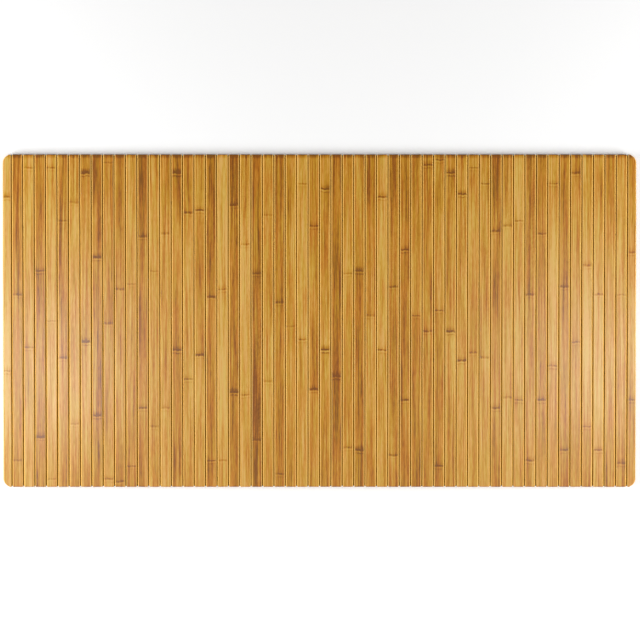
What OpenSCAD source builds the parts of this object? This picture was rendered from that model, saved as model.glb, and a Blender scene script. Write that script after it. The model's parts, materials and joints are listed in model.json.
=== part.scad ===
// Roll-up bamboo chair mat: slats laid side by side on a hinge cloth, with a felt backing
// that rests on the floor. The origin is at the middle of the underside. +X runs along the
// mat, across the slats, +Y runs along the slats, and +Z is up. Millimetres.

/* [Mat] */
// Width of the mat, which is the length of a slat
mat_width = 630; // [300:1:1200]
// Radius of the mat's four corners
corner_radius = 16; // [6:0.5:16]

/* [Slats] */
// Number of slats, counting the narrow ones at the two ends
slat_count = 56; // [10:1:58]
// Width of a slat
slat_width = 20; // [12:0.1:40]
// Width of the first and the last slat
end_slat_width = 16; // [16:0.1:40]
// Thickness of a slat
slat_thickness = 5; // [3:0.1:8]
// Open gap between two slats
gap = 1.6; // [1:0.1:3]
// Chamfer along the top edges of a slat
edge_chamfer = 1; // [0.2:0.1:1.5]
// Chamfer across the top of a slat's two ends
end_chamfer = 0.8; // [0.2:0.1:1.5]

/* [Backing] */
// Thickness of the felt
felt_thickness = 1.6; // [1:0.1:4]
// Thickness of the woven hinge cloth
cloth_thickness = 0.4; // [0.2:0.1:1]
// How far the felt stops short of the slats on every side
felt_inset = 1.5; // [0.5:0.5:5]
// How far the hinge cloth stops short of the slats on every side
cloth_inset = 3; // [1:0.5:5]

/* [Hidden] */
// height of the slats' underside
slat_base = felt_thickness + cloth_thickness;
// distance from one gap to the next
pitch = slat_width + gap;
mat_length = 2 * (end_slat_width + gap) + (slat_count - 2) * pitch - gap;
// how far a cutting shape runs past the slat that it cuts
past = 1;
$fn = 64;

function is_first(i) = i == 1;
function is_last(i) = i == slat_count;
function two_digits(i) = str(i < 10 ? "0" : "", i);
function slat_name(i) = str("slat_", two_digits(i));

// where slat i starts and ends along X
function slat_start(i) =
    -mat_length / 2 + (is_first(i) ? 0 : end_slat_width + gap + (i - 2) * pitch);
function slat_end(i) =
    slat_start(i) + (is_first(i) || is_last(i) ? end_slat_width : slat_width);

// three tones that the slats repeat in a mixed order, as strips cut from different canes do
TONES = ["#c79a55", "#b98543", "#d4ae72"];
function tone(i) = TONES[(i * i + i % 5) % len(TONES)];

// the mat's outline, drawn in by inset on every side
module mat_outline(inset) {
    x = mat_length / 2 - inset;
    y = mat_width / 2 - inset;
    r = corner_radius - inset;
    square([2 * x, 2 * (y - r)], center = true);
    square([2 * (x - r), 2 * y], center = true);
    for (sx = [-1, 1], sy = [-1, 1])
        translate([sx * (x - r), sy * (y - r)])
            circle(r);
}

// a rectangle standing on the X axis, with both its upper corners cut at 45 degrees
module chamfered_profile(start, end, height, cut) {
    polygon([
        [start, 0],
        [end, 0],
        [end, height - cut],
        [end - cut, height],
        [start + cut, height],
        [start, height - cut]
    ]);
}

// the cross-section of slat i, drawn out along the whole slat
module slat_bar(i) {
    translate([0, mat_width / 2, slat_base])
        rotate([90, 0, 0])
            linear_extrude(mat_width)
                chamfered_profile(slat_start(i), slat_end(i), slat_thickness, edge_chamfer);
}

// the side view of a slat, with its chamfered ends, drawn out across slat i
module slat_side(i) {
    translate([slat_start(i) - past, 0, slat_base])
        rotate([90, 0, 90])
            linear_extrude(slat_end(i) - slat_start(i) + 2 * past)
                chamfered_profile(-mat_width / 2, mat_width / 2, slat_thickness, end_chamfer);
}

// the mat's outline as a block, which rounds the outer corners of the first and last slat
module outline_block() {
    translate([0, 0, slat_base - past])
        linear_extrude(slat_thickness + 2 * past)
            mat_outline(0);
}

module slat(i) {
    color(tone(i))
        intersection() {
            slat_bar(i);
            slat_side(i);
            outline_block();
        }
}

// one woven cloth under all the slats, glued to them: it is the hinge at every gap
module hinge_cloth() {
    color("#5b4632")
        translate([0, 0, felt_thickness])
            linear_extrude(cloth_thickness)
                mat_outline(cloth_inset);
}

// the needled felt that meets the floor
module felt_backing() {
    color("#4a443e")
        linear_extrude(felt_thickness)
            mat_outline(felt_inset);
}

for (i = [1 : slat_count])
    slat(i);
hinge_cloth();
felt_backing();
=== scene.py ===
# %% [markdown]
# # A roll-up bamboo chair mat
#
# The mat is fifty-six strips of bamboo laid side by side. They are glued to one thin woven
# cloth, which is the hinge at every gap, and under the cloth lies a felt that meets the floor.
# Nothing else holds it together. Unrolled it is a flat floor for a chair's casters, and it
# rolls up, bamboo inwards, to be put away.
#
# The sizes, the places and the joints come from the frame, so this lesson starts by loading
# it. Every length below is in metres, +X runs across the slats and +Y along them.

# %% Load the frame
import json
import math
import bpy
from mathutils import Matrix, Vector


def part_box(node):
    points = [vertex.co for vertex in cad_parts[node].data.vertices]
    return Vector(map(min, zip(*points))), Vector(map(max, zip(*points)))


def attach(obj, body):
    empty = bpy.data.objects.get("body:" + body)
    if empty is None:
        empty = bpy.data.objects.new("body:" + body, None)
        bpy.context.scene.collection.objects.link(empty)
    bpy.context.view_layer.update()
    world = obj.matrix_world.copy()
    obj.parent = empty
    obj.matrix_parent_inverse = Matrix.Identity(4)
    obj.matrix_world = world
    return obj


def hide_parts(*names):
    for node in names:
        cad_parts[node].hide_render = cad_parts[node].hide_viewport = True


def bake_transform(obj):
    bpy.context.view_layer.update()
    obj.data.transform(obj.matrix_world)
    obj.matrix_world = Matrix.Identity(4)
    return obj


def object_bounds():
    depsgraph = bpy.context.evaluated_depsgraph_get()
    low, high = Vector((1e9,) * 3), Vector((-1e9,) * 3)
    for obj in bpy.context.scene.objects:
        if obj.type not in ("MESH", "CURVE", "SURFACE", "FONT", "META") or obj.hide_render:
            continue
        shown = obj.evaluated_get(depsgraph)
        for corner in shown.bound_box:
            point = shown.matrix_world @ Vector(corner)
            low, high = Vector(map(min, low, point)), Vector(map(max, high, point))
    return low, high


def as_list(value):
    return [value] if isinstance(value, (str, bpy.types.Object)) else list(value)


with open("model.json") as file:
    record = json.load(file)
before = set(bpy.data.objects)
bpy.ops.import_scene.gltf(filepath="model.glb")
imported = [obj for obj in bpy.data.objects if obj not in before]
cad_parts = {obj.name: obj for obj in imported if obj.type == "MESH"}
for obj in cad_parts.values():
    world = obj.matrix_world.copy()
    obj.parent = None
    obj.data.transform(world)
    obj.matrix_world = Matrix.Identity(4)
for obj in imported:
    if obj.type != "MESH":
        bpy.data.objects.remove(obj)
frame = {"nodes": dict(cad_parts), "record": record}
cad_low, cad_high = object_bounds()
mm = 0.001
record = frame["record"]
slats = sorted(name for name in frame["nodes"] if name.startswith("slat_"))
hinges = record["behaviour"]["joints"]
body_of_slat = {nodes[0]: body for body, nodes in record["behaviour"]["bodies"].items()}
mat_length, mat_width, mat_height = (high - low for low, high in zip(cad_low, cad_high))
print("slats:", len(slats), "hinges:", len(hinges))
print("mat:", round(mat_length, 3), "x", round(mat_width, 3), "x", round(mat_height, 4), "m")

# %% [markdown]
# ## Camera
#
# The mat is looked at from straight above, as on a product sheet. A short lens close to the
# mat would look into the gaps at its two sides from a slant, so the camera hangs almost three
# metres up on a long lens, which keeps the slats parallel. Its focal length follows from the
# mat's own length, so the framing stays right if the mat's size changes.

# %% Camera
camera_height = 2.9
# a hair of floor shows past both ends of the mat
view_span = mat_length * 1.0105
camera = bpy.data.objects.new("camera", bpy.data.cameras.new("camera"))
camera.data.sensor_width = 36
camera.data.lens = 36 * camera_height / view_span
camera.location = (1.0 * mm, 45 * mm, camera_height + mat_height)
aim = Vector((0, 1.8 * mm, mat_height)) - camera.location
# an unturned camera looks straight down with +Y upwards, and leans a touch to aim at the middle
camera.rotation_euler = (math.atan2(aim.y, -aim.z), 0, 0)
bpy.context.scene.collection.objects.link(camera)
bpy.context.scene.camera = camera
print("lens:", round(camera.data.lens, 1), "mm")

# %% [markdown]
# ## Studio light
#
# Lacquered slats show their shape through the light they catch. Two long soft boxes stand low
# at the left and the right: each lights the eased edge that faces it, which draws a fine
# bright line beside every gap. They are kept out of reflections, because a camera down near
# the floor would see them glare in the lacquer. Two small boxes high over the near side lie in
# the lacquer as a pale sheen that fades towards the far side. One sun lamp could light it all,
# but a hard sun would leave the gaps black. Here a very wide, weak sun only fills them.
#
# The view transform is the plain one, which keeps amber as deep as it is painted. The filmic
# one would pale it.


# %% Soft boxes
def soft_box(name, place, size, power, mirrored=True):
    """A rectangular area light of size (width, height) at place, turned to the mat's middle."""
    light = bpy.data.lights.new(name, "AREA")
    light.shape = "RECTANGLE"
    light.size, light.size_y = size
    light.energy = power
    box = bpy.data.objects.new(name, light)
    box.location = place
    box.rotation_euler = (-Vector(place)).to_track_quat("-Z", "Y").to_euler()
    box.visible_camera = False
    box.visible_glossy = mirrored
    bpy.context.scene.collection.objects.link(box)


soft_box("left_box", (-2.6, -0.35, 0.58), (1.8, 0.4), 110, mirrored=False)
soft_box("right_box", (2.6, -0.35, 0.58), (1.8, 0.4), 94, mirrored=False)
soft_box("near_left_box", (-1.05, -0.24, 2.9), (0.5, 0.5), 11.6)
soft_box("near_right_box", (1.05, -0.24, 2.9), (0.5, 0.5), 10)

# %% Soft fill
# a wide soft sun from over the near edge reaches the bottom of every gap and the floor far away
fill = bpy.data.lights.new("fill", "SUN")
fill.energy = 0.52
fill.angle = math.radians(40)
fill_sun = bpy.data.objects.new("fill", fill)
fill_sun.rotation_euler = (math.radians(28), 0, 0)
bpy.context.scene.collection.objects.link(fill_sun)
print("fill sun, degrees across:", round(math.degrees(fill.angle)))

# %% Plain view
bpy.context.scene.view_settings.view_transform = "Standard"
print("view:", bpy.context.scene.view_settings.view_transform)

# %% [markdown]
# ## Two small helpers for node trees
#
# A node tree is easy to read on screen and long-winded in a script. `node` adds one node,
# feeds its inputs in order and hands back its output, so that a tree reads like a sum. `calc`
# does the same for arithmetic, and `fade` is a smooth step. They serve geometry trees and
# material trees alike.


# %% Node helpers
def node(tree, kind, *inputs, out=0, **settings):
    """Adds a node, feeds its inputs in order (None skips one) and returns one output."""
    made = tree.nodes.new(kind)
    for name, value in settings.items():
        setattr(made, name, value)
    for socket, value in zip([s for s in made.inputs if s.enabled], inputs):
        if isinstance(value, bpy.types.NodeSocket):
            tree.links.new(value, socket)
        elif value is not None:
            socket.default_value = value
    return [s for s in made.outputs if s.enabled][out]


def calc(tree, operation, *values):
    """One step of arithmetic."""
    return node(tree, "ShaderNodeMath", *values, operation=operation)


def total(tree, values):
    """The sum of several values."""
    result = values[0]
    for value in values[1:]:
        result = calc(tree, "ADD", result, value)
    return result


def fade(tree, value, start, end, low=1.0, high=0.0):
    """A smooth step: low where value is under start, high where it is over end."""
    return node(tree, "ShaderNodeMapRange", value, start, end, low, high,
                interpolation_type="SMOOTHSTEP")


def vector(tree, x=0.0, y=0.0, z=0.0):
    """A vector out of three numbers."""
    return node(tree, "ShaderNodeCombineXYZ", x, y, z)


def parts_of(tree, source):
    """The three numbers of a vector."""
    split = tree.nodes.new("ShaderNodeSeparateXYZ")
    tree.links.new(source, split.inputs[0])
    return split.outputs


print("helpers: node, calc, total, fade, vector, parts_of")

# %% [markdown]
# ## Pale surroundings
#
# Lacquer mirrors whatever stands round it. One even pale world would give enough light, but
# seen from above it would lie on every slat as a grey haze. So the world here is pale low
# down, like studio walls, and dim overhead.

# %% Pale surroundings
world = bpy.data.worlds.new("studio")
world.use_nodes = True
sky = world.node_tree
_, _, upward = parts_of(sky, node(sky, "ShaderNodeTexCoord"))
wall_light = 0.42
ceiling_light = 0.09
sky_light = fade(sky, upward, 0.12, 0.42, wall_light, ceiling_light)
sky.links.new(sky_light, sky.nodes["Background"].inputs["Strength"])
sky.nodes["Background"].inputs["Color"].default_value = (1.0, 0.985, 0.96, 1)
bpy.context.scene.world = world
print("nodes in the sky:", len(sky.nodes))

# %% [markdown]
# ## The slats
#
# A slat starts as a strip split out of a bamboo cane and planed flat. Its long top edges are
# eased, so that casters roll over the gaps, and its ends are eased a little too. All slats are
# the same but for their width, their place and the corner that is rounded on the two outer
# ones. They could be bevelled boxes, but then each rounded corner would need its own edit, so
# one Geometry Nodes tree makes them all.
#
# The tree sweeps the outline of a very narrow slat's section along the slat. Then it pulls the
# two halves of that section apart to the slat's own width, so the eased edges keep their shape
# however wide the slat is. On the way the halves come closer together where an end or an outer
# corner is rounded, and they wander a few tenths of a millimetre, as sawn strips do.

# %% Sizes of a slat's section
slat_low, slat_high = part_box(slats[1])
slat_base = slat_low.z
slat_thickness = slat_high.z - slat_low.z
top_round = 1.5 * mm
bottom_round = 0.3 * mm
# a flat strip beside each rounded edge keeps the smooth shading off the slat's faces
flat_strip = 0.5 * mm
half_section = top_round + flat_strip
print("slat:", round((slat_high.x - slat_low.x) / mm, 2), "x", round(slat_thickness / mm, 2), "mm")


# %% Outline of the section
def arc(centre, radius, start, end, steps):
    """Points of an arc, from start to end in degrees."""
    angles = [math.radians(start + (end - start) * i / steps) for i in range(steps + 1)]
    return [(centre[0] + radius * math.cos(a), centre[1] + radius * math.sin(a)) for a in angles]


def section_points():
    """The right half of the section from the bottom to the top, then the left half back down."""
    low_centre = (half_section - bottom_round, bottom_round)
    top_centre = (half_section - top_round, slat_thickness - top_round)
    right = [(flat_strip, 0.0)]
    right += arc(low_centre, bottom_round, -90, 0, 2)
    right += [(half_section, slat_thickness - top_round - flat_strip)]
    right += arc(top_centre, top_round, 0, 90, 5)
    right += [(flat_strip / 2, slat_thickness)]
    return right + [(-x, y) for x, y in reversed(right)]


def section_mesh():
    """The section as a closed loop of edges, for the tree to sweep."""
    points = section_points()
    loop = [(i, (i + 1) % len(points)) for i in range(len(points))]
    mesh = bpy.data.meshes.new("section")
    mesh.from_pydata([(x, y, 0) for x, y in points], loop, [])
    return mesh


print("points round the section:", len(section_points()))

# %% Inputs of the slat tree
SLAT_INPUTS = {
    "Left Edge": -0.01,
    "Right Edge": 0.01,
    "Length": 0.63,
    "Base Height": 0.0,
    "End Radius": 0.0008,
    "Corner Radius": 0.0,
    "Outer Side": 0.0,
    "Wander": 0.0004,
    "Seed": 0.0,
    "Tone": 0.5,
    "Ring Strength": 0.5,
    "Ring 1": 9.0,
    "Ring 2": 9.0,
    "Ring 3": 9.0,
}


def tree_with_inputs(name, numbers):
    """A geometry tree that takes a mesh, a material and some named numbers."""
    tree = bpy.data.node_groups.new(name, "GeometryNodeTree")
    tree.interface.new_socket("Geometry", in_out="INPUT", socket_type="NodeSocketGeometry")
    for label, default in numbers.items():
        socket = tree.interface.new_socket(label, in_out="INPUT", socket_type="NodeSocketFloat")
        socket.default_value = default
    tree.interface.new_socket("Material", in_out="INPUT", socket_type="NodeSocketMaterial")
    tree.interface.new_socket("Geometry", in_out="OUTPUT", socket_type="NodeSocketGeometry")
    given = {s.name: s for s in tree.nodes.new("NodeGroupInput").outputs if s.name}
    return tree, given


slat_tree, given = tree_with_inputs("bamboo slat", SLAT_INPUTS)
print("inputs of the slat tree:", ", ".join(SLAT_INPUTS))

# %% Sweep the section along the slat
STATIONS = 97
half_length = calc(slat_tree, "MULTIPLY", given["Length"], 0.5)
near_end = vector(slat_tree, y=calc(slat_tree, "MULTIPLY", half_length, -1.0))
line = node(slat_tree, "GeometryNodeCurvePrimitiveLine", near_end, vector(slat_tree, y=half_length))
path = node(slat_tree, "GeometryNodeResampleCurve", line, None, STATIONS)
# a sine crowds the stations towards both ends, where the shape changes most
share = node(slat_tree, "GeometryNodeSplineParameter")
swing = calc(slat_tree, "MULTIPLY", calc(slat_tree, "SUBTRACT", share, 0.5), math.pi)
station = calc(slat_tree, "MULTIPLY", calc(slat_tree, "SINE", swing), half_length)
path = node(slat_tree, "GeometryNodeSetPosition", path, None, vector(slat_tree, y=station))
# the sweep would hang the section upside down under the path, so the path is tilted half a turn
path = node(slat_tree, "GeometryNodeSetCurveTilt", path, None, math.pi)
outline = node(slat_tree, "GeometryNodeMeshToCurve", given["Geometry"])
swept = node(slat_tree, "GeometryNodeCurveToMesh", path, outline, 1.0, True)
print("stations along a slat:", STATIONS)


# %% Mark the eased edges
def label(tree, geometry, name, value, kind="FLOAT"):
    """Stores a value on every point of the mesh, under a name."""
    return node(tree, "GeometryNodeStoreNamedAttribute", geometry, None, name, value, data_type=kind)


across, along, height = parts_of(slat_tree, node(slat_tree, "GeometryNodeInputPosition"))
# 0 on the flat of the top and 1 where the rounded edge meets the wall; it is stored before the
# section is pulled to width, because afterwards X is the place in the mat
over = calc(slat_tree, "SUBTRACT", calc(slat_tree, "ABSOLUTE", across), flat_strip)
swept = label(slat_tree, swept, "edge", calc(slat_tree, "DIVIDE", over, top_round))
print("nodes so far:", len(slat_tree.nodes))


# %% How far the ends and corners draw back
def drawn_back(tree, radius, depth):
    """How far a rounded edge of this radius has drawn back, at depth from the end."""
    near = calc(tree, "SUBTRACT", radius, calc(tree, "MINIMUM", depth, radius))
    square = calc(tree, "SUBTRACT", calc(tree, "POWER", radius, 2.0), calc(tree, "POWER", near, 2.0))
    return calc(tree, "SUBTRACT", radius, calc(tree, "SQRT", square))


side = calc(slat_tree, "SIGN", across)
depth = calc(slat_tree, "SUBTRACT", half_length, calc(slat_tree, "ABSOLUTE", along))
depth = calc(slat_tree, "MAXIMUM", depth, 0.0)
eased = drawn_back(slat_tree, given["End Radius"], depth)
# the outer corner stops where the tip of the slat is two half sections wide
slat_room = calc(slat_tree, "SUBTRACT", given["Right Edge"], given["Left Edge"])
slat_room = calc(slat_tree, "SUBTRACT", slat_room, 2 * half_section + 1.2 * mm)
corner = calc(slat_tree, "MINIMUM", drawn_back(slat_tree, given["Corner Radius"], depth), slat_room)
is_outer = calc(slat_tree, "COMPARE", side, given["Outer Side"], 0.5)
corner = calc(slat_tree, "MULTIPLY", corner, is_outer)
print("nodes so far:", len(slat_tree.nodes))

# %% Pull the section to the slat's width
# a slow wander of each long edge, always inwards
spot = vector(slat_tree, calc(slat_tree, "MULTIPLY", side, 3.0),
              calc(slat_tree, "MULTIPLY", along, 6.0), given["Seed"])
wander = node(slat_tree, "ShaderNodeTexNoise", spot, 1.0, 2.0)
wander = calc(slat_tree, "MULTIPLY", fade(slat_tree, wander, 0.25, 0.75, 0.0, 1.0), given["Wander"])
inset = calc(slat_tree, "ADD", calc(slat_tree, "MAXIMUM", eased, corner), wander)
left = calc(slat_tree, "ADD", given["Left Edge"], inset)
right = calc(slat_tree, "SUBTRACT", given["Right Edge"], inset)
edge = node(slat_tree, "ShaderNodeMix", calc(slat_tree, "GREATER_THAN", across, 0.0), left, right)
from_edge = calc(slat_tree, "SUBTRACT", across, calc(slat_tree, "MULTIPLY", side, half_section))
# the top face dips where an end is eased, and by a hair where the edge wanders
is_top = calc(slat_tree, "GREATER_THAN", height, slat_thickness / 2)
dip = calc(slat_tree, "ADD", eased, calc(slat_tree, "MULTIPLY", wander, 0.3))
level = calc(slat_tree, "SUBTRACT", height, calc(slat_tree, "MULTIPLY", dip, is_top))
level = calc(slat_tree, "ADD", level, given["Base Height"])
moved = vector(slat_tree, calc(slat_tree, "ADD", edge, from_edge), along, level)
shaped = node(slat_tree, "GeometryNodeSetPosition", swept, None, moved)
print("nodes so far:", len(slat_tree.nodes))

# %% Tell the finish about the slat, and end the tree
rings = vector(slat_tree, given["Ring 1"], given["Ring 2"], given["Ring 3"])
shaped = label(slat_tree, shaped, "tone", given["Tone"])
shaped = label(slat_tree, shaped, "seed", given["Seed"])
shaped = label(slat_tree, shaped, "ring_strength", given["Ring Strength"])
shaped = label(slat_tree, shaped, "rings", rings, "FLOAT_VECTOR")
smooth = node(slat_tree, "GeometryNodeSetShadeSmooth", shaped)
whole = node(slat_tree, "GeometryNodeRealizeInstances", smooth)
finished = node(slat_tree, "GeometryNodeSetMaterial", whole, None, given["Material"])
slat_tree.links.new(finished, slat_tree.nodes.new("NodeGroupOutput").inputs[0])
print("nodes in the slat tree:", len(slat_tree.nodes))


# %% Run a tree and keep its mesh
def grow(name, mesh, tree, material, numbers):
    """Runs the tree on a mesh and keeps what it makes as a plain mesh of its own."""
    piece = bpy.data.objects.new(name, mesh)
    bpy.context.scene.collection.objects.link(piece)
    modifier = piece.modifiers.new("make", "NODES")
    modifier.node_group = tree
    sockets = [s for s in tree.interface.items_tree if s.in_out == "INPUT"]
    identifier = {s.name: s.identifier for s in sockets}
    for input_name, value in numbers.items():
        modifier[identifier[input_name]] = float(value)
    modifier[identifier["Material"]] = material
    depsgraph = bpy.context.evaluated_depsgraph_get()
    made = bpy.data.meshes.new_from_object(piece.evaluated_get(depsgraph))
    piece.modifiers.clear()
    piece.data = made
    made.name = name
    return piece


print("inputs that a slat is given:", len(SLAT_INPUTS) + 1)

# %% [markdown]
# ## The bamboo finish
#
# The strips were steamed until they took on an amber tone, planed, and lacquered. Up close
# bamboo is bundles of hard fibres that run the whole length: fine lines less than a millimetre
# wide and several centimetres long, darker and lighter by turns. Each cane has its own tone,
# which shifts a little from one joint of the cane to the next. At every joint, a hand's width
# or two apart, a thin dark ring crosses the strip, often with a fainter one beside it.
#
# A wood grain picture could be laid on the slats, but it would repeat and would stop at the
# edges. Here all of it is worked out from the slat's own place in the mat, so the grain runs
# through each slat as a solid, and its walls and ends match its face. The tree stored each
# slat's tone, seed and rings on the mesh, and this one material reads them. It reads the
# "edge" value too, because the plane that eases an edge cuts past the steamed skin, and the
# bamboo under it is paler. The same pale colour also paints a highlight along the eased edges.


# %% Material helpers
def new_material(name):
    """An empty material, with its tree and its surface shader."""
    material = bpy.data.materials.new(name)
    material.use_nodes = True
    return material, material.node_tree, material.node_tree.nodes["Principled BSDF"]


def color_ramp(tree, value, stops):
    """Colours that follow value through stops, each a place from 0 to 1 and a colour."""
    ramp = tree.nodes.new("ShaderNodeValToRGB")
    elements = ramp.color_ramp.elements
    while len(elements) < len(stops):
        elements.new(0.5)
    for element, (place, color) in zip(elements, stops):
        element.position = place
        element.color = (*color, 1)
    tree.links.new(value, ramp.inputs[0])
    return ramp.outputs[0]


def attribute(tree, name, out=2):
    """A value stored on the mesh: out 1 is a vector and out 2 a number."""
    return node(tree, "ShaderNodeAttribute", attribute_name=name, out=out)


def about(tree, value, weight):
    """A noise value, which lies about 0.5, turned into a swing of this weight about zero."""
    return calc(tree, "MULTIPLY", calc(tree, "SUBTRACT", value, 0.5), weight)


def streaks(tree, across, along, seed, width, length, detail=2.0):
    """Noise drawn out along the slat, in streaks about this wide and this long."""
    spot = vector(tree, calc(tree, "DIVIDE", across, width), calc(tree, "DIVIDE", along, length), seed)
    return node(tree, "ShaderNodeTexNoise", spot, 1.0, detail, 0.55)


print("material helpers: new_material, color_ramp, attribute, about, streaks")

# %% Colours of steamed bamboo
# two scales from straw to steamed dark, one that leans to yellow and one that leans to red
YELLOW_BAMBOO = [
    (0.00, (0.640, 0.410, 0.090)),
    (0.25, (0.580, 0.324, 0.040)),
    (0.50, (0.490, 0.233, 0.010)),
    (0.75, (0.390, 0.155, 0.003)),
    (1.00, (0.190, 0.066, 0.002)),
]
RED_BAMBOO = [
    (0.00, (0.670, 0.380, 0.100)),
    (0.25, (0.610, 0.298, 0.048)),
    (0.50, (0.520, 0.208, 0.014)),
    (0.75, (0.420, 0.136, 0.004)),
    (1.00, (0.210, 0.060, 0.002)),
]
# where an edge is eased the plane cuts past the steamed skin to paler bamboo, and this
# colour also paints a highlight along the eased edges
PALE_AND_LIT_EDGE = (0.80, 0.47, 0.12, 1)
print("colours in each scale:", len(RED_BAMBOO))


# %% Chances of a joint
def ring_chances(tree, number, seed):
    """Two steady chances from 0 to 1 for ring number of a slat, and the seed they come from."""
    own = calc(tree, "ADD", calc(tree, "MULTIPLY", seed, 1.37), 10.0 * (number + 1))
    chance = node(tree, "ShaderNodeTexWhiteNoise", own, noise_dimensions="1D")
    other = calc(tree, "ADD", own, 5.0)
    other = node(tree, "ShaderNodeTexWhiteNoise", other, noise_dimensions="1D")
    return own, chance, other


print("chances of a joint: 2")


# %% A joint of the cane
def bamboo_ring(tree, number, ring, place, strength):
    """The ring at one joint of the cane: its darkness, the tone step past it, its relief."""
    across, along, seed = place
    own, chance, other = ring_chances(tree, number, seed)
    wave = about(tree, streaks(tree, across, along, own, 7 * mm, 60 * mm), 5 * mm)
    dots = fade(tree, streaks(tree, across, along, own, 1.5 * mm, 8 * mm), 0.38, 0.60, 0.25, 1.0)
    # a dark line, a pale one under it, and a second, fainter dark one under that
    away = calc(tree, "SUBTRACT", calc(tree, "ADD", along, wave), ring)
    from_line = calc(tree, "ABSOLUTE", away)
    from_pale = calc(tree, "ABSOLUTE", calc(tree, "ADD", away, 3.0 * mm))
    from_second = calc(tree, "ABSOLUTE", calc(tree, "ADD", away, 6.0 * mm))
    # some rings are a hairline and others a soft band
    reach = calc(tree, "ADD", calc(tree, "MULTIPLY", chance, 2.4 * mm), 1.8 * mm)
    line = calc(tree, "MULTIPLY", fade(tree, from_line, 0.6 * mm, reach),
                calc(tree, "ADD", dots, calc(tree, "MULTIPLY", chance, 0.4)))
    pale = fade(tree, from_pale, 0.6 * mm, 2.4 * mm)
    second = calc(tree, "MULTIPLY", fade(tree, from_second, 0.4 * mm, 2.2 * mm), dots)
    # the wood is darker above a joint than below it
    halo = calc(tree, "MULTIPLY", fade(tree, from_line, 1 * mm, 12 * mm),
                fade(tree, away, -2 * mm, 0.5 * mm, 0.25, 1.0))
    dark = total(tree, [
        calc(tree, "MULTIPLY", line, 0.54),
        calc(tree, "MULTIPLY", pale, -0.16),
        calc(tree, "MULTIPLY", second, calc(tree, "MULTIPLY", other, 0.42)),
        calc(tree, "MULTIPLY", halo, calc(tree, "MULTIPLY", other, 0.42)),
    ])
    dark = calc(tree, "MULTIPLY", dark, strength)
    past = fade(tree, away, -1 * mm, 2 * mm, 0.0, 1.0)
    step = calc(tree, "MULTIPLY", past, about(tree, chance, 0.32))
    return dark, step, calc(tree, "SUBTRACT", halo, line)


print("layers of a joint: line, pale line, second line, halo, tone step")


# %% Grain of the bamboo
def bamboo_grain(tree, across, along, seed):
    """The noises that make the grain, by name, each drawn out along the fibres."""
    sway = about(tree, streaks(tree, across, along, seed, 12 * mm, 90 * mm), 1.2 * mm)
    swayed = calc(tree, "ADD", across, sway)

    def layer(x, offset, width, length, detail=2.0):
        return streaks(tree, x, along, calc(tree, "ADD", seed, offset), width, length, detail)

    return {
        "fine": layer(swayed, 0.0, 0.45 * mm, 60 * mm, 3.0),
        "cords": layer(swayed, 3.0, 1.8 * mm, 120 * mm),
        "bands": layer(swayed, 7.0, 5 * mm, 200 * mm),
        "clouds": layer(across, 11.0, 14 * mm, 50 * mm, 4.0),
        "pores": layer(swayed, 17.0, 0.30 * mm, 5 * mm, 1.0),
        "hue": layer(swayed, 23.0, 6 * mm, 70 * mm, 3.0),
        "dashes": layer(swayed, 29.0, 1.4 * mm, 13 * mm),
    }


print("grain: fine, cords, bands, clouds, pores, hue, dashes")


# %% Painted shade in the gaps and towards the ends, and darker tips
def darker_places(tree, along, height):
    """What is added to the tone: painted shade down the walls, along the far end and towards both
    ends, and darker tips.
    """
    half = mat_width / 2
    # painted shade down the slat walls, darkest at their base, where the gaps lie in shade
    wall = fade(tree, height, slat_base, slat_base + 3.6 * mm)
    # darker over the last 3 mm at both tips
    tip = fade(tree, calc(tree, "ABSOLUTE", along), half - 3.0 * mm, half, 0.0, 1.0)
    # painted shade in a band along the far (+Y) end
    far_band_shade = fade(tree, along, half - 9.0 * mm, half - 3.0 * mm, 0.0, 1.0)
    # and painted shade towards both ends, twice as much at the far end as at the near one
    far_end_shade = fade(tree, along, mat_width * 0.28, mat_width * 0.42, 0.0, 1.0)
    near_end_shade = fade(tree, along, mat_width * -0.42, mat_width * -0.28)
    return [
        calc(tree, "MULTIPLY", wall, 0.30), calc(tree, "MULTIPLY", tip, 0.30),
        calc(tree, "MULTIPLY", far_band_shade, 0.36),
        calc(tree, "MULTIPLY", far_end_shade, 0.10), calc(tree, "MULTIPLY", near_end_shade, 0.05),
    ]


print("darker places: wall, tip, drip, low end, high end")


# %% Paint of the bamboo
def bamboo_paint(tree, shade, hue):
    """The colour at this shade, with the eased edges paler bamboo and a painted highlight."""
    paint = node(tree, "ShaderNodeMix", fade(tree, hue, 0.36, 0.64, 0.0, 1.0),
                 color_ramp(tree, shade, YELLOW_BAMBOO), color_ramp(tree, shade, RED_BAMBOO),
                 data_type="RGBA")
    edge = attribute(tree, "edge")
    # paler bamboo and a painted highlight from the start of the rounding, and steamed again
    # where it meets the wall
    pale = calc(tree, "MULTIPLY", fade(tree, edge, -0.15, 0.2, 0.0, 0.9), fade(tree, edge, 0.7, 0.95))
    return node(tree, "ShaderNodeMix", pale, paint, PALE_AND_LIT_EDGE, data_type="RGBA")


print("stops in the two colour scales:", len(YELLOW_BAMBOO) + len(RED_BAMBOO))


# %% Bump helper
def add_bump(tree, surface, height, strength, distance):
    """Gives a surface the relief of a height, at most about distance deep."""
    bump = tree.nodes.new("ShaderNodeBump")
    bump.inputs["Strength"].default_value = strength
    bump.inputs["Distance"].default_value = distance
    tree.links.new(height, bump.inputs["Height"])
    tree.links.new(bump.outputs[0], surface.inputs["Normal"])


print("bump helper: add_bump")


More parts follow.
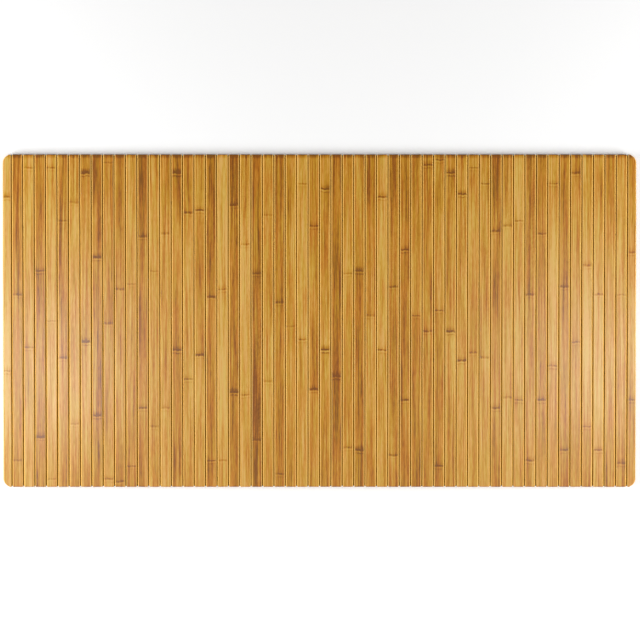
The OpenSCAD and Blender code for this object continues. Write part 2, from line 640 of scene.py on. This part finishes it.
# %% Bamboo material
def bamboo_material():
    """Steamed bamboo under a satin lacquer."""
    material, tree, surface = new_material("lacquered bamboo")
    across, along, height = parts_of(tree, node(tree, "ShaderNodeTexCoord", out=3))
    seed = attribute(tree, "seed")
    joints = [bamboo_ring(tree, i, ring, (across, along, seed), attribute(tree, "ring_strength"))
              for i, ring in enumerate(parts_of(tree, attribute(tree, "rings", out=1)))]
    dark, step, relief = (total(tree, list(column)) for column in zip(*joints))
    grain = bamboo_grain(tree, across, along, seed)
    shade = total(tree, [
        attribute(tree, "tone"), dark, step,
        about(tree, grain["fine"], 0.70), about(tree, grain["cords"], 1.36),
        about(tree, grain["bands"], 1.30), about(tree, grain["clouds"], 0.25),
        about(tree, grain["dashes"], 0.64),
        calc(tree, "MULTIPLY", fade(tree, grain["pores"], 0.60, 0.75, 0.0, 1.0), 0.06),
        *darker_places(tree, along, height),
    ])
    tree.links.new(bamboo_paint(tree, shade, grain["hue"]), surface.inputs["Base Color"])

    gloss = calc(tree, "ADD", about(tree, grain["cords"], 0.22), 0.42)
    tree.links.new(gloss, surface.inputs["Roughness"])
    surface.inputs["Specular IOR Level"].default_value = 0.10
    surface.inputs["Coat Weight"].default_value = 0.80
    surface.inputs["Coat Roughness"].default_value = 0.25

    rise = total(tree, [calc(tree, "MULTIPLY", grain["fine"], 0.35),
                        calc(tree, "MULTIPLY", grain["cords"], 0.5),
                        calc(tree, "MULTIPLY", relief, 0.8)])
    add_bump(tree, surface, rise, 0.35, 0.15 * mm)
    return material


bamboo = bamboo_material()
print("nodes in the bamboo material:", len(bamboo.node_tree.nodes))

# %% [markdown]
# ## Every slat has its own cane
#
# Seen from across a room the mat is not one colour: a few strips are steamed dark, a few are
# nearly straw, and most lie between. Chance could deal out the tones, but here a list gives
# them one by one. Each entry below gives a slat its tone, from 0 for straw to 5 for steamed
# dark, how strongly its rings show, and where they cross it, in millimetres from the middle.
# The joints of one cane lie about 310 mm apart, so most strips show two.

# %% Tone, ring strength and rings, slat by slat
CANES = [
    (0, 5, 235, -95), (2, 4, 50, -265), (1, 4, 290, -50), (3, 6, 95, -220),
    (1, 4, 290, 0, -300), (2, 4, 190, -70), (1, 3, 225, -195), (1, 8, 280, -40),
    (3, 6, 120, -180), (1, 4, 300, -5, -300), (2, 5, 60, -305), (3, 4, 70, -275),
    (3, 5, 160, -165), (1, 3, 95, -200), (1, 3, 165, -165), (3, 8, 280, -55),
    (2, 6, 205, -110), (1, 8, 210, -65), (4, 7, 45, -265), (0, 4, 60, -265),
    (4, 7, 220, -135), (1, 4, 145, -140), (5, 5, 90, -225), (1, 3, 200, -115),
    (4, 4, 35, -290), (2, 3, -10), (1, 4, 260, -35), (2, 5, 180, -130),
    (3, 9, 250, -55), (5, 7, -105), (2, 4, 90, -240), (4, 6, 95, -245),
    (2, 3, 10), (1, 7, 235, -55), (3, 5, 65, -255), (3, 7, 135, -150),
    (4, 4, 10), (3, 5, 295, -20), (3, 5, 305, 20, -275), (2, 7, 280, -20),
    (1, 8, 240, -75), (1, 4, 290, -60), (1, 5, 260, -70), (3, 5, 170, -165),
    (0, 4, 180, -145), (2, 5, 190, -150), (2, 5, 50, -265), (2, 5, 165, -150),
    (1, 5, 260, -85), (2, 5, 65, -245), (2, 5, 280, -40), (1, 4, 105, -200),
    (0, 6, 50, -245), (2, 2), (2, 4, 50, -270), (2, 4, 130, -150),
]
# a ring this many metres away never shows
NO_RING = 9.0
PALEST_TONE = 0.20
TONE_STEP = 0.11
FULL_STRENGTH = 7
print("canes:", len(CANES))


# %% Make the slats
corner_radius = 16 * mm
# how far apart two slats lie in the noise, so that no two share their grain
seed_step = 4.7
# the outer side is -1 or 1 on the end slats, and this on the others, which matches neither
NO_SIDE = 5.0


def make_slat(number, name, cane):
    """One slat, in the place of the frame's slat of that name."""
    low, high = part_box(name)
    grade, strength, *ring_places = cane
    ring_places = [y * mm for y in ring_places] + [NO_RING] * (3 - len(ring_places))
    outer = {0: -1, len(slats) - 1: 1}.get(number, NO_SIDE)
    numbers = {
        "Left Edge": low.x, "Right Edge": high.x, "Length": high.y - low.y, "Base Height": low.z,
        "Corner Radius": 0.0 if outer == NO_SIDE else corner_radius, "Outer Side": outer,
        "Seed": number * seed_step, "Tone": PALEST_TONE + TONE_STEP * grade,
        "Ring Strength": strength / FULL_STRENGTH,
        "Ring 1": ring_places[0], "Ring 2": ring_places[1], "Ring 3": ring_places[2],
    }
    piece = grow("bamboo_" + name, section_mesh(), slat_tree, bamboo, numbers)
    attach(piece, body_of_slat[name])
    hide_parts(name)
    return piece


bamboo_slats = [make_slat(i, name, cane) for i, (name, cane) in enumerate(zip(slats, CANES))]
print("slats made:", len(bamboo_slats), "faces in one:", len(bamboo_slats[1].data.polygons))

# %% [markdown]
# ## Hinge cloth and felt
#
# One woven cloth runs under all the slats and one felt under the cloth. Both are glued to the
# slats and free over the gaps, so in the real mat they bend only there. A single sheet would
# look right while the mat lies flat, but it could not follow fifty-five hinges. So each layer is
# laid in runs, from the middle of one slat to the middle of the next, with the hinge in the
# middle of the run. Two runs meet under a slat, where nothing bends, and the seam between them
# is closed. Here the runs are laid flat and are not attached to the slats.
#
# Each point of a run keeps its resting place in an attribute. The weave and the felt's fibres
# read that, so the pattern is fixed to the sheet and doesn't slide over it.


# %% Insets and corners of the two sheets
felt_inset = 1.5 * mm
cloth_inset = 3 * mm
# half the length, about each hinge, over which a sheet's columns stand close together
felt_bend = 3 * mm
cloth_bend = 0.8 * mm
print("sheets stop short by, mm:", round(felt_inset / mm, 1), "and", round(cloth_inset / mm, 1))


# %% A run of cloth
def half_width_at(x, inset):
    """Half the sheet's width at x, less where a corner is rounded."""
    end = mat_length / 2 - inset
    radius = corner_radius - inset
    near = max(0.0, abs(x) - (end - radius))
    return mat_width / 2 - inset - radius + math.sqrt(max(0.0, radius ** 2 - near ** 2))


def run_mesh(name, columns, inset, low, high, rows=14):
    """A closed thin slab under the columns, with its resting place kept as an attribute."""
    points = []
    for z in (low, high):
        for x in columns:
            half = half_width_at(x, inset)
            points += [(x, half * (2 * j / rows - 1), z) for j in range(rows + 1)]
    layer = len(columns) * (rows + 1)

    def at(i, j, top):
        return top * layer + i * (rows + 1) + j

    last = len(columns) - 1
    faces = []
    for i in range(last):
        for j in range(rows):
            faces.append((at(i, j, 1), at(i + 1, j, 1), at(i + 1, j + 1, 1), at(i, j + 1, 1)))
            faces.append((at(i, j, 0), at(i, j + 1, 0), at(i + 1, j + 1, 0), at(i + 1, j, 0)))
        faces.append((at(i, 0, 0), at(i + 1, 0, 0), at(i + 1, 0, 1), at(i, 0, 1)))
        faces.append((at(i, rows, 0), at(i, rows, 1), at(i + 1, rows, 1), at(i + 1, rows, 0)))
    for j in range(rows):
        faces.append((at(0, j, 0), at(0, j, 1), at(0, j + 1, 1), at(0, j + 1, 0)))
        faces.append((at(last, j, 0), at(last, j + 1, 0), at(last, j + 1, 1), at(last, j, 1)))
    mesh = bpy.data.meshes.new(name)
    mesh.from_pydata(points, [], faces)
    laid = mesh.attributes.new("laid", "FLOAT_VECTOR", "POINT")
    laid.data.foreach_set("vector", [c for point in points for c in point])
    return mesh


print("half width of the felt at its middle, mm:", round(half_width_at(0, felt_inset) / mm, 1))


# %% Where the columns of a run stand
def run_columns(k, bend, steps, inset):
    """The columns of run k: its two ends, close columns about its hinge, and any rounded corner."""
    hinge = hinges[k]["pos_m"][0]
    end = mat_length / 2 - inset
    radius = corner_radius - inset
    middles = [sum(v.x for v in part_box(name)) / 2 for name in (slats[k], slats[k + 1])]
    start = middles[0] if k > 0 else -end
    stop = middles[1] if k < len(hinges) - 1 else end
    columns = {start, stop} | {hinge + bend * (2 * i / steps - 1) for i in range(steps + 1)}
    for outer in (-1, 1):
        turns = [end - radius * (1 - math.sin(math.radians(10 * i))) for i in range(10)]
        columns |= {outer * x for x in turns if start < outer * x < stop}
    kept = []
    for x in sorted(columns):
        if not kept or x - kept[-1] > 0.01 * mm:
            kept.append(x)
    return kept


print("columns in a felt run:", len(run_columns(10, felt_bend, 8, felt_inset)))


# %% [markdown]
# ## Cloth and felt finishes
#
# The cloth is a plain weave of golden brown thread. It shows only down in the gaps and at the
# ends, so a weave made of two crossed waves is enough. The felt is a mass of fibres
# lying every way, needled flat. Noise stretched in three directions and laid together gives
# that, with paler flecks here and there and lint that takes the shine off.


# %% Cloth material
def cloth_material():
    """A plain weave of golden brown thread."""
    material, tree, surface = new_material("brown woven cloth")
    across, along, _ = parts_of(tree, attribute(tree, "laid", out=1))
    thread = 0.55 * mm
    warp = calc(tree, "SINE", calc(tree, "MULTIPLY", across, 2 * math.pi / thread))
    weft = calc(tree, "SINE", calc(tree, "MULTIPLY", along, 2 * math.pi / thread))
    crossing = calc(tree, "MULTIPLY", warp, weft)
    spot = vector(tree, across, along)
    uneven = node(tree, "ShaderNodeTexNoise", spot, 260.0, 3.0, 0.6)
    shade = total(tree, [calc(tree, "MULTIPLY", crossing, 0.22), about(tree, uneven, 0.7)])
    shade = calc(tree, "ADD", shade, 0.5)
    ramp = color_ramp(tree, shade, [(0.0, (0.50, 0.20, 0.006)), (1.0, (0.95, 0.47, 0.025))])
    tree.links.new(ramp, surface.inputs["Base Color"])
    tree.links.new(calc(tree, "ADD", about(tree, uneven, 0.2), 0.85), surface.inputs["Roughness"])
    surface.inputs["Specular IOR Level"].default_value = 0.05
    add_bump(tree, surface, crossing, 0.6, 0.1 * mm)
    return material


cloth = cloth_material()
print("nodes in the cloth material:", len(cloth.node_tree.nodes))


# %% Felt material
def felt_fibres(tree, across, along, turn, number):
    """Short fibres that lie in one direction."""
    cos, sin = math.cos(turn), math.sin(turn)
    over = calc(tree, "ADD", calc(tree, "MULTIPLY", across, cos),
                calc(tree, "MULTIPLY", along, sin))
    down = calc(tree, "SUBTRACT", calc(tree, "MULTIPLY", along, cos),
                calc(tree, "MULTIPLY", across, sin))
    spot = vector(tree, calc(tree, "DIVIDE", over, 0.35 * mm),
                  calc(tree, "DIVIDE", down, 3 * mm), number)
    return node(tree, "ShaderNodeTexNoise", spot, 1.0, 2.0, 0.6)


def felt_material():
    """Dark needled felt with paler flecks."""
    material, tree, surface = new_material("needled felt")
    across, along, _ = parts_of(tree, attribute(tree, "laid", out=1))
    turns = (0.3, 1.4, 2.4)
    mass = [felt_fibres(tree, across, along, turn, 5.0 * i) for i, turn in enumerate(turns)]
    fibres = calc(tree, "MULTIPLY", total(tree, mass), 1 / len(turns))
    spot = vector(tree, across, along)
    worn = node(tree, "ShaderNodeTexNoise", spot, 14.0, 4.0, 0.6)
    flecks = node(tree, "ShaderNodeTexNoise", spot, 700.0, 1.0)
    shade = total(tree, [about(tree, fibres, 2.6), about(tree, worn, 0.35)])
    shade = calc(tree, "ADD", shade, 0.45)
    flecks = calc(tree, "MULTIPLY", fade(tree, flecks, 0.62, 0.72, 0.0, 1.0), 0.25)
    shade = calc(tree, "ADD", shade, flecks)
    ramp = color_ramp(tree, shade, [(0.0, (0.030, 0.024, 0.020)), (0.6, (0.085, 0.068, 0.055)),
                                    (1.0, (0.200, 0.165, 0.135))])
    tree.links.new(ramp, surface.inputs["Base Color"])
    surface.inputs["Roughness"].default_value = 0.95
    surface.inputs["Sheen Weight"].default_value = 0.25
    surface.inputs["Sheen Roughness"].default_value = 0.5
    add_bump(tree, surface, fibres, 0.8, 0.3 * mm)
    return material


felt = felt_material()
print("nodes in the felt material:", len(felt.node_tree.nodes))


# %% Lay the cloth and the felt
def lay_runs(sheet, name, material, inset, bend, steps, rests_on):
    """Lays a sheet of the frame as runs, each spanning one hinge."""
    low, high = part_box(sheet)
    runs = []
    for k, hinge in enumerate(hinges):
        columns = run_columns(k, bend, steps, inset)
        piece_name = f"{name}_{k + 1:02d}"
        mesh = run_mesh(piece_name, columns, inset, low.z, high.z)
        piece = bpy.data.objects.new(piece_name, mesh)
        bpy.context.scene.collection.objects.link(piece)
        piece.data.materials.append(material)
        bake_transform(piece)
        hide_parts(sheet)
        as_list(rests_on(k))
        runs.append(piece)
    return runs


felt_runs = lay_runs("felt_backing", "felt_run", felt, felt_inset, felt_bend, 8, lambda k: [])
print("felt runs:", len(felt_runs))
cloth_runs = lay_runs("hinge_cloth", "cloth_run", cloth, cloth_inset, cloth_bend, 6,
                      lambda k: [felt_runs[k].name])
print("cloth runs:", len(cloth_runs))

# %% [markdown]
# ## Floor
#
# The mat lies on a plain pale floor. One large square is enough, and its material is a matt,
# nearly white paint with a faint unevenness, so that it doesn't compete with the mat.


# %% Floor
def floor_material():
    """Matt paint, nearly white."""
    material, tree, surface = new_material("pale floor")
    cloudy = node(tree, "ShaderNodeTexNoise", node(tree, "ShaderNodeTexCoord", out=3), 1.5, 2.0)
    ramp = color_ramp(tree, cloudy, [(0.3, (0.975, 0.975, 0.975)), (0.7, (0.985, 0.985, 0.985))])
    tree.links.new(ramp, surface.inputs["Base Color"])
    surface.inputs["Roughness"].default_value = 0.9
    return material


reach = 8
corners = [(-reach, -reach, 0), (reach, -reach, 0), (reach, reach, 0), (-reach, reach, 0)]
floor_mesh = bpy.data.meshes.new("floor")
floor_mesh.from_pydata(corners, [], [(0, 1, 2, 3)])
floor_mesh.materials.append(floor_material())
floor = bpy.data.objects.new("floor", floor_mesh)
bpy.context.scene.collection.objects.link(floor)
print("floor:", 2 * reach, "m square")
